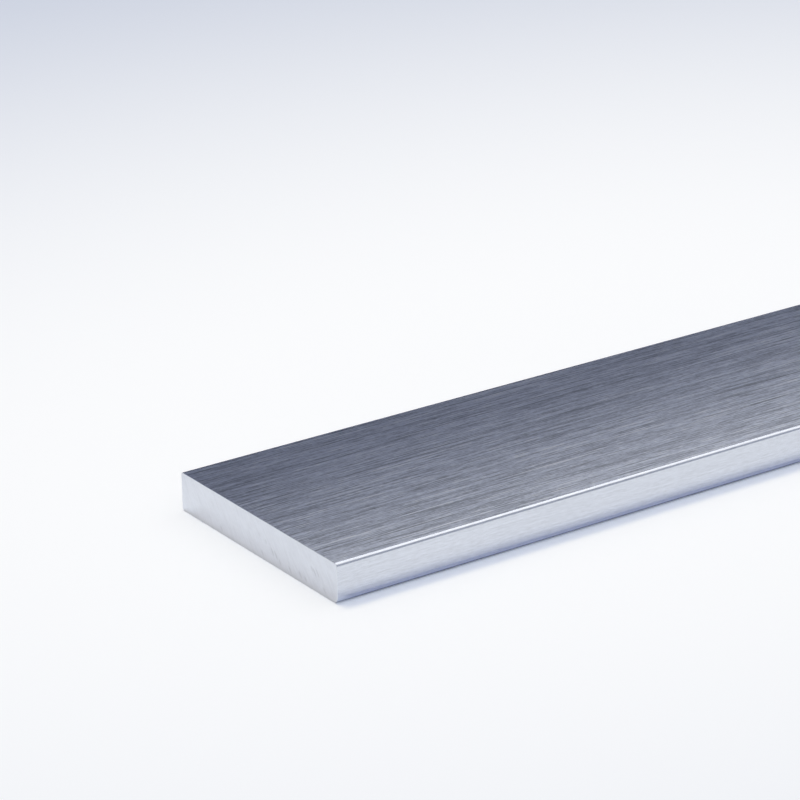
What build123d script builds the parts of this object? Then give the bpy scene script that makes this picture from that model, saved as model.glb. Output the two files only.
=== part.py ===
from build123d import *
import os

# Flat bar of ground metal stock: one rolled piece, sawn square to length.
# It lies flat. The origin is at the middle of its bottom face, with +X along
# the bar, +Y across its width and +Z up through its thickness.

# Driving dimensions, in millimetres
LENGTH = 500.0  # from one sawn end to the other
WIDTH = 40.0  # across the two wide faces
THICKNESS = 6.0  # from the bottom face to the top face
EDGE_RADIUS = 0.5  # on three of the long edges, all along the bar
FOOT_RADIUS = 1.0  # on the fourth, at the foot of the front face, which is rounder


def bar_section():
    """The rolled section: a rectangle with rounded corners, standing on its base line."""
    with BuildSketch() as section:
        Rectangle(WIDTH, THICKNESS, align=(Align.CENTER, Align.MIN))
        front_foot = (-WIDTH / 2, 0)
        fillet(section.vertices().sort_by_distance(front_foot)[0], FOOT_RADIUS)
        fillet(section.vertices().sort_by_distance(front_foot)[-3:], EDGE_RADIUS)
    return section.sketch


def flat_bar():
    """The bar: its section carried along X, with both ends flat and sharp as sawn."""
    left_end = Plane.YZ.offset(-LENGTH / 2)
    return extrude(left_end * bar_section(), amount=LENGTH)


os.makedirs("parts", exist_ok=True)
export_step(flat_bar(), "parts/flat_bar.step")
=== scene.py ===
import math

import bpy
import numpy as np
from mathutils import Matrix, Vector


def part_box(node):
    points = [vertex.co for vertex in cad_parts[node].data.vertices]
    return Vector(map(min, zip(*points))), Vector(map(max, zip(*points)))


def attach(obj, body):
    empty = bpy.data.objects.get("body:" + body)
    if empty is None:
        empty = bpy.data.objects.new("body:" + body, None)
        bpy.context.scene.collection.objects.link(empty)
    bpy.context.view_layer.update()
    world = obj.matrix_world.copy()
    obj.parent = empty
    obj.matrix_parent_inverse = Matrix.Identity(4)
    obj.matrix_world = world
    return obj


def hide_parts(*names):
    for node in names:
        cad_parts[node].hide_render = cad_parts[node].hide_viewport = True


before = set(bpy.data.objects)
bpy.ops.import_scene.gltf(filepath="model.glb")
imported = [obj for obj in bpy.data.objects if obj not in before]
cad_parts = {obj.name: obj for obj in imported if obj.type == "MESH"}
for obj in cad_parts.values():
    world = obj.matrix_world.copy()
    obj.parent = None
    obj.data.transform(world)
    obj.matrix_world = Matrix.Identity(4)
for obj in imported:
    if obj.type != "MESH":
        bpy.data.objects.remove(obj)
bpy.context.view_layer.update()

# ---------------------------------------------------------------- sizes, in metres
MM = 0.001
LOW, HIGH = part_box("flat_bar")
LENGTH, WIDTH, THICKNESS = HIGH - LOW
EDGE_RADIUS = 0.5 * MM  # on three of the long edges, as the CAD model rounds them
FOOT_RADIUS = 1.0 * MM  # on the fourth, at the foot of the front face
END_BREAK = 0.06 * MM  # the sawn ends' edges, where a file took the burr off

# The mesh's fineness
CORNER_STEPS = 14  # steps round a quarter of a long edge
ACROSS_STEPS = 416  # steps across the width, between the rounded edges
UP_STEPS = 56  # steps up the thickness
BREAK_STEPS = 3  # steps round an end's broken edge
TINY = 1e-9  # keeps a division from being by nothing

# The bake map: one strip for the long faces, with both ends side by side above it
MAP_MARGIN = 0.006
STRIP_TOP = 0.88

# ---------------------------------------------------------------- camera
CAMERA_AZIMUTH = math.radians(-34.489)
CAMERA_ELEVATION = math.radians(21.642)
CAMERA_ROLL = math.radians(-0.867)
CAMERA_PLACE = Vector((-480.73, -371.49, 196.40)) * MM
SENSOR_WIDTH = 36.0  # millimetres, as Blender counts a sensor
LENS = 154.42  # millimetres
CAMERA_NEAR = 10 * MM  # nothing closer to it than this is drawn

# ---------------------------------------------------------------- light and stage
AMBIENT = (0.71, 0.75, 0.85)  # light from all round
AMBIENT_LOW = 0.4  # its strength at the horizon
AMBIENT_HIGH = AMBIENT_LOW + 1.5 * (1 - AMBIENT_LOW)  # and overhead, which makes 1 on a level floor
REBOUND = (0.98, 1.06, 1.22)  # what the metal throws back onto the floor, before its own colour
LEFT_REBOUND = (0.46, 0.54, 0.70)  # the same for what comes from the left
KEY_SHARE = (0.29, 0.25, 0.15)  # the softbox's light; with the ambient light it makes 1
KEY_ANGLE = math.radians(72)  # above the horizon behind the bar
KEY_DISTANCE = 2.4
KEY_LEFT = 0.46  # how far the softbox stands to the left of the bar's middle
KEY_SIZE = (1.0, 0.44)
BACKDROP = (0.64, 0.665, 0.753)  # what is seen past the floor

# What the metal alone reflects: low cards round the bar, a ceiling, and a bright panel under it
CEILING = (0.80, 0.793, 0.775)
CEILING_HEIGHT = 1.0
PANEL = (1.35, 1.35, 1.35)
PANEL_CORNER = (0.2, -0.50, 0.98)
PANEL_SIZE = (1.6, 2.94)
CARD_DARK = (0.060, 0.081, 0.170)
CARD_DARK_FOOT = 0.2  # the back card's strength at its foot
BACK_STRIP = 0.017  # from the bar's back face to a dark strip on the floor
CARD_GREY = (0.42, 0.44, 0.50)
CARD_MIDDLE = (0.25, 0.265, 0.32)
CARD_BACK_PLACE = 0.085
CARD_BACK_RISE = math.radians(40.45)  # to its top edge, from the middle of the bar's top face
CARD_BACK_TOP = CARD_BACK_PLACE * math.tan(CARD_BACK_RISE) + THICKNESS
CARD_FRONT_PLACE = 0.080
CARD_FRONT_TOP = 0.092
CARD_SIDE_PLACE = 0.45
CARD_SIDE_TOP = 0.20

# The shade at the bar's foot, as the metal reflects it: its colour at the bar and a little way out,
# and the millimetres out over which it goes from the one to the other and then fades
FRONT_SHADE = {
    "contact": (0.0, 0.03, 0.13),
    "shade": (0.388, 0.427, 0.578),
    "core": (-0.7, -0.1),
    "fade": (1.1, 3.85),
}
END_SHADE = {
    "contact": (0.585, 0.575, 0.57),
    "shade": (0.71, 0.695, 0.715),
    "core": (0.0, 1.1),
    "fade": (0.0, 3.8),
}
SHADE_ENDS = (-3.5, -0.2)  # millimetres past the bar's corners over which it ends, all but the contact
SHADE_UNDER = 0.8 * MM  # how far it reaches in under the rounded foot
SHADE_HEIGHT = 0.02 * MM

FLOOR_SIZE = 12.0
# painted light: the floor's colour is palest round the bar and greyer and bluer away from it, a painted
# falloff of the light
FLOOR_NEAR = (0.956, 0.965, 0.982)
FLOOR_FAR = (0.553, 0.598, 0.713)
FLOOR_CENTRE = (-0.171, 0.012, 0.0)
FLOOR_REACH = (0.064, 0.52)  # along X, from the near colour to the far one
FLOOR_SQUEEZE = 1.5  # how much quicker it greys along Y

# ---------------------------------------------------------------- metal
METAL = (0.667, 0.696, 0.759)
SAWN_METAL = (0.716, 0.745, 0.803)
GRAIN = (  # the wide faces' streaks: length and width of a cell in millimetres, and weight
    (0.9, 0.20, 0.38),
    (3, 0.20, 0.42),
    (10, 0.20, 0.44),
    (30, 0.20, 0.52),
    (18, 0.60, 0.38),
    (34, 1.6, 0.14),
    (80, 5, 0.05),
)
SCRATCHES = (  # the same for the ones that stand out
    (5, 0.17, 1.1),
    (25, 0.17, 1.5),
)
CALM = 0.10  # the middle of that noise's range, either way, which leaves no scratch
EDGE_GRAIN = (  # the same for the narrow faces, whose scratches are faint
    (1.2, 0.18, 0.12),
    (5, 0.18, 0.075),
    (20, 0.25, 0.065),
    (240, 0.35, 0.05),
)
GRAIN_FADE = (0.9 * MM, 0.15 * MM)  # from the side inwards, where the one gives way to the other
GRAIN_SWING = 0.180  # the streaks' height that takes the colour all the way to its darkest or palest
GRAIN_CONTRAST = 0.5  # how dark and pale those are, as a share of the metal's own colour
GRAIN_BUMP = 0.004 * MM
LAYER_SHIFT = (3, 7, 1)  # cells by which a layer's noise is moved off that of the layer before
SCRATCH_SHIFT = 40  # cells by which the sparse scratches' noise is moved off the other streaks'
ROUGHNESS = (0.285, 0.225)  # of the wide faces and the narrow ones
ROUGHNESS_SWING = 0.03
ANISOTROPY = 0.2
ACROSS_GRAIN = 0.25  # a quarter of a turn from the map's own direction

# The circular saw's marks on the ends, in millimetres from the middle of the bar's foot
BLADE_CENTRE = (-123, 89)
SAW_MARKS = (  # the ones that stand out: place across and up, length, width and depth
    (-3.9, 2.0, 1.3, 0.13, 0.045),
    (-4.8, 1.8, 1.3, 0.14, 0.045),
    (-5.8, 1.1, 0.9, 0.14, 0.035),
    (-13.9, 3.1, 0.9, 0.13, 0.035),
    (-14.5, 2.8, 1.2, 0.13, 0.045),
    (-15.2, 3.0, 1.3, 0.13, 0.040),
    (-2.3, 3.0, 0.6, 0.26, 0.018),
    (-0.6, 3.5, 0.8, 0.24, 0.014),
    (-1.3, 0.9, 0.8, 0.16, 0.030),
    (-8.3, 0.9, 1.0, 0.18, 0.035),
    (-10.9, 1.1, 1.1, 0.20, 0.035),
    (-12.2, 0.9, 0.8, 0.16, 0.035),
    (-16.9, 0.9, 1.0, 0.16, 0.030),
    (9.4, 0.8, 0.9, 0.20, 0.025),
)
FAINT_MARKS = 140  # how many shallow ones each end has
FAINT_DEPTH = 0.010  # the deepest of those
DEEP_DEPTH = 0.045  # the deepest of the ones that stand out on the right end, placed at random
MARK_RANGES = (  # a random mark's place across and up, length, width and share of the deepest
    (-19, 19),
    (0.7, 5.3),
    (0.8, 3.0),
    (0.10, 0.20),
    (0.2, 1.0),
)
LEFT_SEED, RIGHT_SEED, DEEP_SEED = 5, 6, 7
MARK_SHADE = 0.26  # painted shade: how much darker the bottom of a mark is, at the depth of MARK_FULL
MARK_FULL = 0.05 * MM
SAWN_SWING = 0.065  # how far the ends' colour goes either way, as a share of it
SAWN_TONE = (-0.012, 0.014, 0.4, 0.6)  # how pale it is, from one place across the bar to another
ARC_CELL = (MM, 0.22 * MM, 2 * MM)  # a cell of the fine arcs: along X, out from the blade's centre, up
CLOUD_CELL = (MM, 2.5 * MM, 1.2 * MM)  # a cell of the faint clouds: along X, across and up
SAWN_ROUGHNESS = 0.30
SAWN_ROUGHNESS_SWING = 0.04
SAWN_BUMP = 0.012 * MM


class Graph:
    """Short ways to write a node tree."""

    def __init__(self, tree):
        self.tree = tree
        tree.nodes.clear()

    def add(self, kind, **settings):
        node = self.tree.nodes.new("ShaderNode" + kind)
        for name, value in settings.items():
            setattr(node, name, value)
        return node

    def put(self, node, socket, value):
        """Sets a socket to a value, or wires another node's output to it."""
        target = node.inputs[socket]
        if isinstance(value, bpy.types.NodeSocket):
            self.tree.links.new(value, target)
        else:
            target.default_value = value

    def math(self, operation, *values):
        node = self.add("Math", operation=operation)
        for i, value in enumerate(values):
            self.put(node, i, value)
        return node.outputs[0]

    def mix(self, share, first, second):
        node = self.add("Mix", data_type="RGBA")
        self.put(node, "Factor", share)
        for socket, value in ((6, first), (7, second)):
            self.put(node, socket, rgba(value) if isinstance(value, tuple) else value)
        return node.outputs[2]

    def ramp(self, value, low, high, to_low=0.0, to_high=1.0, smooth=False):
        node = self.add("MapRange")
        node.interpolation_type = "SMOOTHSTEP" if smooth else "LINEAR"
        for i, v in enumerate((value, low, high, to_low, to_high)):
            self.put(node, i, v)
        return node.outputs[0]

    def noise(self, vector, detail=2.0, roughness=0.5):
        node = self.add("TexNoise", noise_dimensions="3D")
        self.put(node, "Vector", vector)
        self.put(node, "Scale", 1.0)
        self.put(node, "Detail", detail)
        self.put(node, "Roughness", roughness)
        return node.outputs[0]

    def stretched(self, vector, sizes, shift=(0, 0, 0)):
        """Coordinates in which a cell of the given sizes is one unit."""
        node = self.add("Mapping")
        self.put(node, "Vector", vector)
        self.put(node, "Location", shift)
        self.put(node, "Scale", tuple(1 / s for s in sizes))
        return node.outputs[0]


def rgba(colour):
    return (*colour, 1.0)


def material(name):
    made = bpy.data.materials.new(name)
    made.use_nodes = True
    return made, Graph(made.node_tree)


# ---------------------------------------------------------------- the bar's mesh
def corner_radius(y, z):
    """The radius of the long edge that a point of the section is nearest to."""
    return np.where((y < 0) & (z < THICKNESS / 2), FOOT_RADIUS, EDGE_RADIUS)


def section(inset):
    """The section drawn in by inset, as a grid of (y, z) points: columns go across and rows go up."""
    turn = np.linspace(0, math.pi / 2, CORNER_STEPS + 1)
    front = WIDTH / 2 - FOOT_RADIUS + (FOOT_RADIUS - inset) * np.sin(turn)
    back = WIDTH / 2 - EDGE_RADIUS + (EDGE_RADIUS - inset) * np.sin(turn)
    y = np.concatenate([-front[:0:-1], np.linspace(-front[0], back[0], ACROSS_STEPS + 1), back[1:]])

    def rise(z):
        radius = corner_radius(y, z)
        past = np.clip(np.abs(y) - (WIDTH / 2 - radius), 0, radius - inset)
        return radius - np.sqrt((radius - inset) ** 2 - past**2)

    low, high = rise(0), THICKNESS - rise(THICKNESS)
    z = low[:, None] + np.linspace(0, 1, UP_STEPS + 1)[None, :] * (high - low)[:, None]
    return np.stack([np.repeat(y[:, None], UP_STEPS + 1, 1), z], -1)


def outline_cells():
    """The grid's border, from the middle of the bottom and on towards +Y, as column and row numbers."""
    last_column, last_row = ACROSS_STEPS + 2 * CORNER_STEPS, UP_STEPS
    cells = [(i, 0) for i in range(last_column)]
    cells += [(last_column, k) for k in range(last_row)]
    cells += [(i, last_row) for i in range(last_column, 0, -1)]
    cells += [(0, k) for k in range(last_row, 0, -1)]
    middle = last_column // 2
    return cells[middle:] + cells[:middle]


def outline_normals(cells):
    """The surface's direction at each point of the outline, from the corners' own centres."""
    y, z = np.array([section(0)[c] for c in cells]).T
    radius = corner_radius(y, z)
    away = np.stack([
        y - np.clip(y, radius - WIDTH / 2, WIDTH / 2 - radius),
        z - np.clip(z, radius, THICKNESS - radius),
    ], -1)
    return away / np.linalg.norm(away, axis=1, keepdims=True)


def random_marks(seed, count, deepest):
    """Marks all over an end, in the same terms as SAW_MARKS."""
    pick = np.random.default_rng(seed).uniform
    marks = []
    for _ in range(count):
        *place_and_size, share = [pick(low, high) for low, high in MARK_RANGES]
        marks.append((*place_and_size, share * deepest))
    return marks


def saw_relief(y, z, marks):
    """How deep the blade's teeth are cut into an end: short arcs about the blade's centre."""
    across, up = y / MM - BLADE_CENTRE[0], z / MM - BLADE_CENTRE[1]
    radius, angle = np.hypot(across, up), np.arctan2(up, across)
    depth = np.zeros_like(y)
    for mark_y, mark_z, long, wide, deep in marks:
        mark_across, mark_up = mark_y - BLADE_CENTRE[0], mark_z - BLADE_CENTRE[1]
        mark_radius = math.hypot(mark_across, mark_up)
        off = (radius - mark_radius) / wide
        on = (angle - math.atan2(mark_up, mark_across)) * mark_radius / (long / 2)
        depth = np.maximum(depth, deep * np.exp(-(off**2) - on**4))
    return depth * MM


def bar_mesh():
    """The bar: its long faces, both ends and their broken edges, as one closed mesh."""
    cells = outline_cells()
    count = len(cells)
    normals = outline_normals(cells)
    tilts = np.linspace(0, math.pi / 2, BREAK_STEPS + 1)
    half = LENGTH / 2
    rings = [(-1, t) for t in tilts[::-1]] + [(1, t) for t in tilts]

    verts, vert_normals, marked = [], [], {}
    border = np.array([section(0)[cell] for cell in cells])
    for side, tilt in rings:
        inset = END_BREAK * (1 - math.cos(tilt))
        x = side * (half - END_BREAK * (1 - math.sin(tilt)))
        for (y, z), n in zip(border, normals):
            verts.append((x, y - inset * n[0], z - inset * n[1]))
            vert_normals.append((side * math.sin(tilt), math.cos(tilt) * n[0], math.cos(tilt) * n[1]))

    around = np.linalg.norm(np.diff(border, axis=0, append=border[:1]), axis=1)
    along_outline = np.concatenate([[0], np.cumsum(around)]) / around.sum()

    def strip_uv(x, j):
        u = MAP_MARGIN + (x / LENGTH + 0.5) * (1 - 2 * MAP_MARGIN)
        return u, MAP_MARGIN + along_outline[j] * (STRIP_TOP - 2 * MAP_MARGIN)

    faces, uvs, slots = [], [], []
    for r in range(len(rings) - 1):
        sawn = int(r < BREAK_STEPS or r >= len(rings) - 1 - BREAK_STEPS)
        for j in range(count):
            k = (j + 1) % count
            first, second = r * count, (r + 1) * count
            corners = ((first + j, j), (first + k, j + 1), (second + k, j + 1), (second + j, j))
            faces.append(tuple(v for v, _ in corners))
            uvs += [strip_uv(verts[v][0], step) for v, step in corners]
            slots.append(sawn)

    grid = section(END_BREAK)
    columns, rows = grid.shape[:2]
    left_marks = (*SAW_MARKS, *random_marks(LEFT_SEED, FAINT_MARKS, FAINT_DEPTH))
    right_marks = random_marks(RIGHT_SEED, FAINT_MARKS, FAINT_DEPTH)
    right_marks += random_marks(DEEP_SEED, len(SAW_MARKS), DEEP_DEPTH)
    for side, ring, marks in ((-1, 0, left_marks), (1, len(rings) - 1, right_marks)):
        depth = saw_relief(grid[..., 0], grid[..., 1], marks)
        columns_apart = np.maximum(np.abs(np.gradient(grid[..., 0], axis=0)), TINY)
        slope_y = np.gradient(depth, axis=0) / columns_apart
        slope_z = np.gradient(depth, axis=1) / np.gradient(grid[..., 1], axis=1)
        number = {cell: ring * count + j for j, cell in enumerate(cells)}
        for i in range(columns):
            for k in range(rows):
                if (i, k) not in number:
                    number[i, k] = len(verts)
                    y, z = grid[i, k]
                    verts.append((side * (half - depth[i, k]), y, z))
                    n = Vector((side, slope_y[i, k], slope_z[i, k])).normalized()
                    vert_normals.append(tuple(n))
                    marked[number[i, k]] = min(depth[i, k] / MARK_FULL, 1.0)

        def end_uv(cell):
            y, z = grid[cell]
            across = (side * y / WIDTH + 0.5) * (0.5 - 2 * MAP_MARGIN)
            u = MAP_MARGIN + across + (0.5 if side > 0 else 0.0)
            return u, STRIP_TOP + MAP_MARGIN + z / THICKNESS * (1 - STRIP_TOP - 2 * MAP_MARGIN)

        for i in range(columns - 1):
            for k in range(rows - 1):
                corners = [(i, k), (i + 1, k), (i + 1, k + 1), (i, k + 1)][::side]
                faces.append(tuple(number[c] for c in corners))
                uvs += [end_uv(c) for c in corners]
                slots.append(1)

    mesh = bpy.data.meshes.new("flat_bar_metal")
    mesh.from_pydata(verts, [], faces)
    mesh.uv_layers.new(name="OFBake").data.foreach_set("uv", np.array(uvs, np.float32).ravel())
    mesh.attributes.new("saw_mark", "FLOAT", "POINT").data.foreach_set(
        "value", [marked.get(v, 0.0) for v in range(len(verts))]
    )
    mesh.polygons.foreach_set("material_index", slots)
    mesh.polygons.foreach_set("use_smooth", [True] * len(faces))
    mesh.validate()
    mesh.normals_split_custom_set_from_vertices(vert_normals)
    mesh.update()
    return mesh


# ---------------------------------------------------------------- the bar's metal
def scratches(g, place, layers, calm=0.0, shift=0, total=0.0):
    """Overlapping streaks along X, about zero, from layers of stretched noise, added to total."""
    for i, (length, width, weight) in enumerate(layers):
        along, across, up = (i * step for step in LAYER_SHIFT)
        cells = g.stretched(place, (length * MM, width * MM, width * MM), (along + shift, across, up))
        streak = g.noise(cells)
        middle = 0.5
        if calm:
            middle = g.math("MINIMUM", g.math("MAXIMUM", streak, 0.5 - calm), 0.5 + calm)
        total = g.math("MULTIPLY_ADD", g.math("SUBTRACT", streak, middle), weight, total)
    return total


def ground_metal():
    """The long faces: ground on a belt along the bar, which leaves short, overlapping scratches."""
    made, g = material("ground_metal")
    place = g.add("TexCoord").outputs["Object"]
    split = g.add("SeparateXYZ")
    g.put(split, 0, place)
    inwards = g.math("SUBTRACT", WIDTH / 2, g.math("ABSOLUTE", split.outputs["Y"]))
    narrow = g.ramp(inwards, *GRAIN_FADE, smooth=True)
    fine = scratches(g, place, GRAIN)
    coarse = scratches(g, place, SCRATCHES, CALM, SCRATCH_SHIFT, fine)
    streaks = g.mix(narrow, coarse, scratches(g, place, EDGE_GRAIN))

    shader = g.add("BsdfPrincipled")
    dark = tuple((1 - GRAIN_CONTRAST) * c for c in METAL)
    pale = tuple((1 + GRAIN_CONTRAST) * c for c in METAL)
    g.put(shader, "Base Color", g.mix(g.ramp(streaks, -GRAIN_SWING, GRAIN_SWING), dark, pale))
    g.put(shader, "Metallic", 1.0)
    roughness = g.ramp(narrow, 0, 1, *ROUGHNESS)
    g.put(shader, "Roughness", g.math("MULTIPLY_ADD", streaks, ROUGHNESS_SWING, roughness))
    g.put(shader, "Anisotropic", ANISOTROPY)
    g.put(shader, "Anisotropic Rotation", ACROSS_GRAIN)
    tangent = g.add("Tangent", direction_type="UV_MAP", uv_map="OFBake")
    g.put(shader, "Tangent", tangent.outputs[0])
    bump = g.add("Bump")
    g.put(bump, "Height", streaks)
    g.put(bump, "Distance", GRAIN_BUMP)
    g.put(shader, "Normal", bump.outputs[0])
    g.put(g.add("OutputMaterial"), "Surface", shader.outputs[0])
    return made


def sawn_metal():
    """The ends: satin rather than ground, with the fine arcs that a circular saw leaves."""
    made, g = material("sawn_metal")
    place = g.add("TexCoord").outputs["Object"]
    split = g.add("SeparateXYZ")
    g.put(split, 0, place)
    across = g.math("SUBTRACT", split.outputs["Y"], BLADE_CENTRE[0] * MM)
    up = g.math("SUBTRACT", split.outputs["Z"], BLADE_CENTRE[1] * MM)
    radius = g.math("SQRT", g.math("MULTIPLY_ADD", across, across, g.math("MULTIPLY", up, up)))
    arcs = g.add("CombineXYZ")
    for socket, value in enumerate((split.outputs["X"], radius, split.outputs["Z"])):
        g.put(arcs, socket, value)
    lines = g.math("SUBTRACT", g.noise(g.stretched(arcs.outputs[0], ARC_CELL)), 0.5)
    cloud = g.noise(g.stretched(place, CLOUD_CELL), detail=3, roughness=0.7)
    relief = g.math("ADD", lines, g.math("SUBTRACT", cloud, 0.5))

    shader = g.add("BsdfPrincipled")
    dark = tuple((1 - SAWN_SWING) * c for c in SAWN_METAL)
    pale = tuple((1 + SAWN_SWING) * c for c in SAWN_METAL)
    tone = g.math("ADD", g.ramp(split.outputs["Y"], *SAWN_TONE, smooth=True), relief)
    # painted shade in the saw marks: the colour darkens as a mark gets deeper
    mark = g.add("Attribute", attribute_name="saw_mark").outputs["Fac"]
    deep = tuple((1 - MARK_SHADE) * c for c in SAWN_METAL)
    g.put(shader, "Base Color", g.mix(mark, g.mix(tone, dark, pale), deep))
    g.put(shader, "Metallic", 1.0)
    g.put(shader, "Roughness", g.math("MULTIPLY_ADD", lines, SAWN_ROUGHNESS_SWING, SAWN_ROUGHNESS))
    bump = g.add("Bump")
    g.put(bump, "Height", lines)
    g.put(bump, "Distance", SAWN_BUMP)
    g.put(shader, "Normal", bump.outputs[0])
    g.put(g.add("OutputMaterial"), "Surface", shader.outputs[0])
    return made


def make_bar():
    bar = bpy.data.objects.new("flat_bar_metal", bar_mesh())
    bpy.context.scene.collection.objects.link(bar)
    for made in (ground_metal(), sawn_metal()):
        bar.data.materials.append(made)
    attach(bar, "root")
    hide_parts("flat_bar")


# ---------------------------------------------------------------- stage
def add_stage(name, corners, made):
    """A flat four-cornered piece of the studio."""
    mesh = bpy.data.meshes.new(name)
    mesh.from_pydata(corners, [], [(0, 1, 2, 3)])
    mesh.materials.append(made)
    made_object = bpy.data.objects.new(name, mesh)
    bpy.context.scene.collection.objects.link(made_object)
    return made_object


def level(size_x, size_y, z):
    return [(-size_x, -size_y, z), (size_x, -size_y, z), (size_x, size_y, z), (-size_x, size_y, z)]


def floor_material():
    """A pale floor, a little greyer and bluer away from the bar: a painted falloff of the light."""
    made, g = material("studio_floor")
    x, y, z = FLOOR_CENTRE
    squeezed = (-x, -y * FLOOR_SQUEEZE, z)
    place = g.stretched(g.add("TexCoord").outputs["Object"], (1, 1 / FLOOR_SQUEEZE, 1), squeezed)
    away = g.add("VectorMath", operation="LENGTH")
    g.put(away, 0, place)
    share = g.ramp(away.outputs["Value"], *FLOOR_REACH, smooth=True)
    shader = g.add("BsdfPrincipled")
    g.put(shader, "Base Color", g.mix(share, FLOOR_NEAR, FLOOR_FAR))
    g.put(shader, "Roughness", 1.0)
    g.put(shader, "Specular IOR Level", 0.0)
    g.put(g.add("OutputMaterial"), "Surface", shader.outputs[0])
    return made


def glow(name, colour, rebound=REBOUND, graded=False):
    """Shines in its colour to the metal, and in the rebound's where the metal lights the floor."""
    made, g = material(name)
    shader = g.add("Emission")
    if graded:
        up = g.add("SeparateXYZ")
        g.put(up, 0, g.add("TexCoord").outputs["Generated"])
        foot = tuple(CARD_DARK_FOOT * c for c in colour)
        colour = g.mix(up.outputs["Z"], foot, colour)
    g.put(shader, "Color", g.mix(g.add("LightPath").outputs["Diffuse Depth"], colour, rebound))
    g.put(g.add("OutputMaterial"), "Surface", shader.outputs[0])
    return made


def shade_material(name, contact, shade, core, fade):
    """Darkest where the bar meets the floor, and gone a few millimetres out."""
    made, g = material(name)
    place = g.add("VectorMath", operation="ABSOLUTE")
    g.put(place, 0, g.add("TexCoord").outputs["Object"])
    past = g.add("VectorMath", operation="SUBTRACT")
    g.put(past, 0, place.outputs[0])
    g.put(past, 1, (LENGTH / 2, WIDTH / 2, 0))
    split = g.add("SeparateXYZ")
    g.put(split, 0, past.outputs[0])
    out = g.math("MULTIPLY", g.math("MAXIMUM", split.outputs["X"], split.outputs["Y"]), 1 / MM)
    inside = g.math("MULTIPLY", g.math("MINIMUM", split.outputs["X"], split.outputs["Y"]), 1 / MM)
    shader = g.add("Emission")
    g.put(shader, "Color", g.mix(g.ramp(out, *core, smooth=True), contact, shade))
    gone = g.add("MixShader")
    thin = g.math("MULTIPLY", g.ramp(inside, *SHADE_ENDS, smooth=True), g.ramp(out, *core, smooth=True))
    thin = g.math("MAXIMUM", g.ramp(out, *fade), thin)
    g.put(gone, 0, g.math("MAXIMUM", thin, g.add("LightPath").outputs["Diffuse Depth"]))
    g.put(gone, 1, shader.outputs[0])
    g.put(gone, 2, g.add("BsdfTransparent").outputs[0])
    g.put(g.add("OutputMaterial"), "Surface", gone.outputs[0])
    return made


def seen_in_metal_only(thing):
    thing.visible_camera = False
    thing.visible_diffuse = False
    thing.visible_shadow = False
    thing.visible_transmission = False
    thing.visible_volume_scatter = False


def wall(start, end, top):
    """An upright four-cornered piece over the line from start to end."""
    return [(*start, 0), (*end, 0), (*end, top), (*start, top)]


def flat_strip(x0, x1, y0, y1):
    """The corners of a strip that lies on the floor."""
    return [(x, y, SHADE_HEIGHT) for x, y in ((x0, y0), (x1, y0), (x1, y1), (x0, y1))]


def make_cards():
    """Cards round the bar, a ceiling and a bright panel, which show in the metal alone."""
    x, back, front = CARD_SIDE_PLACE, CARD_BACK_PLACE, -CARD_FRONT_PLACE
    x0, y0, z0 = PANEL_CORNER
    x1, y1 = x0 + PANEL_SIZE[0], y0 + PANEL_SIZE[1]
    cards = {
        "card_back": (wall((-x, back), (x, back), CARD_BACK_TOP), CARD_DARK),
        "card_floor": (flat_strip(-x, x, WIDTH / 2 + BACK_STRIP, back), CARD_DARK),
        "card_front": (wall((-x, front), (x, front), CARD_FRONT_TOP), CARD_GREY),
        "card_left": (wall((-x, front), (-x, back), CARD_SIDE_TOP), CARD_MIDDLE),
        "card_right": (wall((x, front), (x, back), CARD_SIDE_TOP), CARD_MIDDLE),
        "bright_panel": ([(x0, y0, z0), (x1, y0, z0), (x1, y1, z0), (x0, y1, z0)], PANEL),
        "ceiling": (level(FLOOR_SIZE, FLOOR_SIZE, CEILING_HEIGHT), CEILING),
    }
    for name, (corners, colour) in cards.items():
        rebound = LEFT_REBOUND if name == "card_left" else REBOUND
        made = glow(name, colour, rebound, graded=name == "card_back")
        seen_in_metal_only(add_stage(name, corners, made))


def make_shades():
    x, y = LENGTH / 2, WIDTH / 2
    front, end = FRONT_SHADE["fade"][1] * MM, END_SHADE["fade"][1] * MM
    strips = {
        "front_shade": (flat_strip(-x, x, -y - front, SHADE_UNDER - y), FRONT_SHADE),
        "left_shade": (flat_strip(-x - end, -x, -y, y), END_SHADE),
        "right_shade": (flat_strip(x, x + end, -y, y), END_SHADE),
    }
    for name, (corners, settings) in strips.items():
        seen_in_metal_only(add_stage(name, corners, shade_material(name, **settings)))


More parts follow.
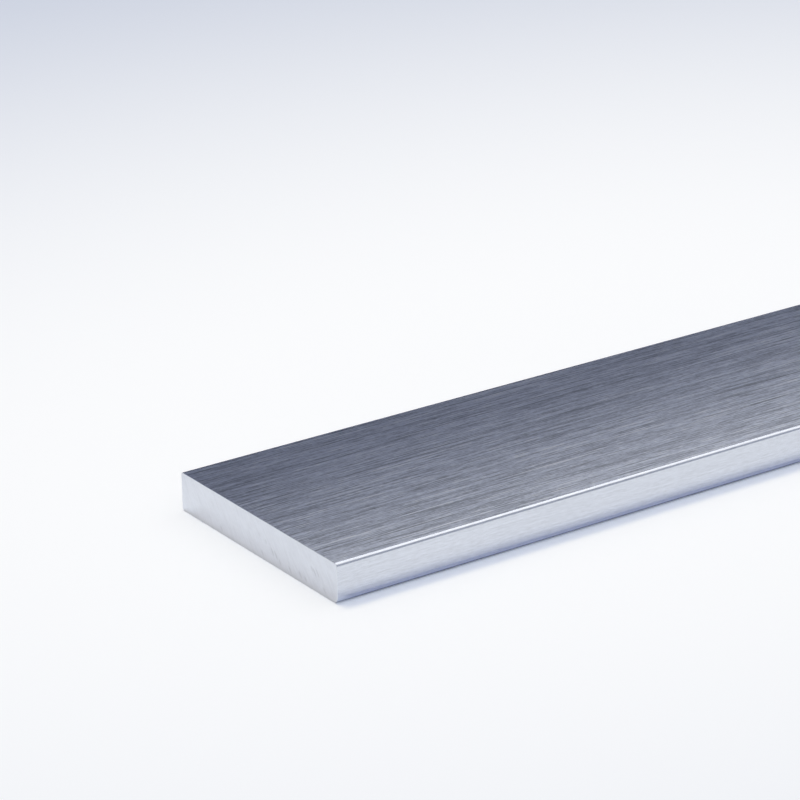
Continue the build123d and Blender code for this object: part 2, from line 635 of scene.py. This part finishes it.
def make_world():
    """Pale to the camera and to reflections, and a soft bluish light from all round."""
    world = bpy.data.worlds.new("studio")
    world.use_nodes = True
    bpy.context.scene.world = world
    g = Graph(world.node_tree)
    path = g.add("LightPath")
    seen = g.math("MAXIMUM", path.outputs["Is Camera Ray"], path.outputs["Is Glossy Ray"])
    seen = g.math("MAXIMUM", seen, path.outputs["Is Transmission Ray"])
    height = g.add("SeparateXYZ")
    g.put(height, 0, g.add("TexCoord").outputs["Generated"])
    lift = g.ramp(height.outputs["Z"], 0, 1, AMBIENT_LOW, AMBIENT_HIGH)
    background = g.add("Background")
    g.put(background, "Color", g.mix(seen, AMBIENT, BACKDROP))
    g.put(background, "Strength", g.mix(seen, lift, (1, 1, 1)))
    g.put(g.add("OutputWorld"), "Surface", background.outputs[0])


def make_key():
    """A softbox over the bar, a little behind it and to the left, which puts the shadow in front."""
    light = bpy.data.lights.new("softbox", "AREA")
    light.shape = "RECTANGLE"
    light.size, light.size_y = KEY_SIZE
    strongest = max(KEY_SHARE)
    light.color = tuple(c / strongest for c in KEY_SHARE)
    up = Vector((-KEY_LEFT, KEY_DISTANCE * math.cos(KEY_ANGLE), KEY_DISTANCE * math.sin(KEY_ANGLE)))
    # the energy at which the light on a level floor is KEY_SHARE
    light.energy = strongest * math.pi**2 * up.length**3 / up.z
    softbox = bpy.data.objects.new("softbox", light)
    softbox.location = up
    softbox.rotation_euler = up.to_track_quat("Z", "Y").to_euler()
    softbox.visible_camera = False
    softbox.visible_glossy = False
    bpy.context.scene.collection.objects.link(softbox)


def make_camera():
    """The photograph's camera."""
    a, e, r = CAMERA_AZIMUTH, CAMERA_ELEVATION, CAMERA_ROLL
    back = Vector((math.sin(a) * math.cos(e), -math.cos(a) * math.cos(e), math.sin(e)))
    level_right = Vector((math.cos(a), math.sin(a), 0))
    level_up = back.cross(level_right)
    right = math.cos(r) * level_right + math.sin(r) * level_up
    up = math.cos(r) * level_up - math.sin(r) * level_right
    camera = bpy.data.objects.new("photo_camera", bpy.data.cameras.new("photo_camera"))
    camera.data.sensor_width = SENSOR_WIDTH
    camera.data.lens = LENS
    camera.data.clip_start = CAMERA_NEAR
    turned = Matrix((right, up, back)).transposed().to_4x4()
    camera.matrix_world = Matrix.Translation(CAMERA_PLACE) @ turned
    bpy.context.scene.collection.objects.link(camera)
    bpy.context.scene.camera = camera


make_bar()
add_stage("studio_floor", level(FLOOR_SIZE, FLOOR_SIZE, 0), floor_material())
make_cards()
make_shades()
make_world()
make_key()
make_camera()
bpy.context.scene.view_settings.view_transform = "Standard"
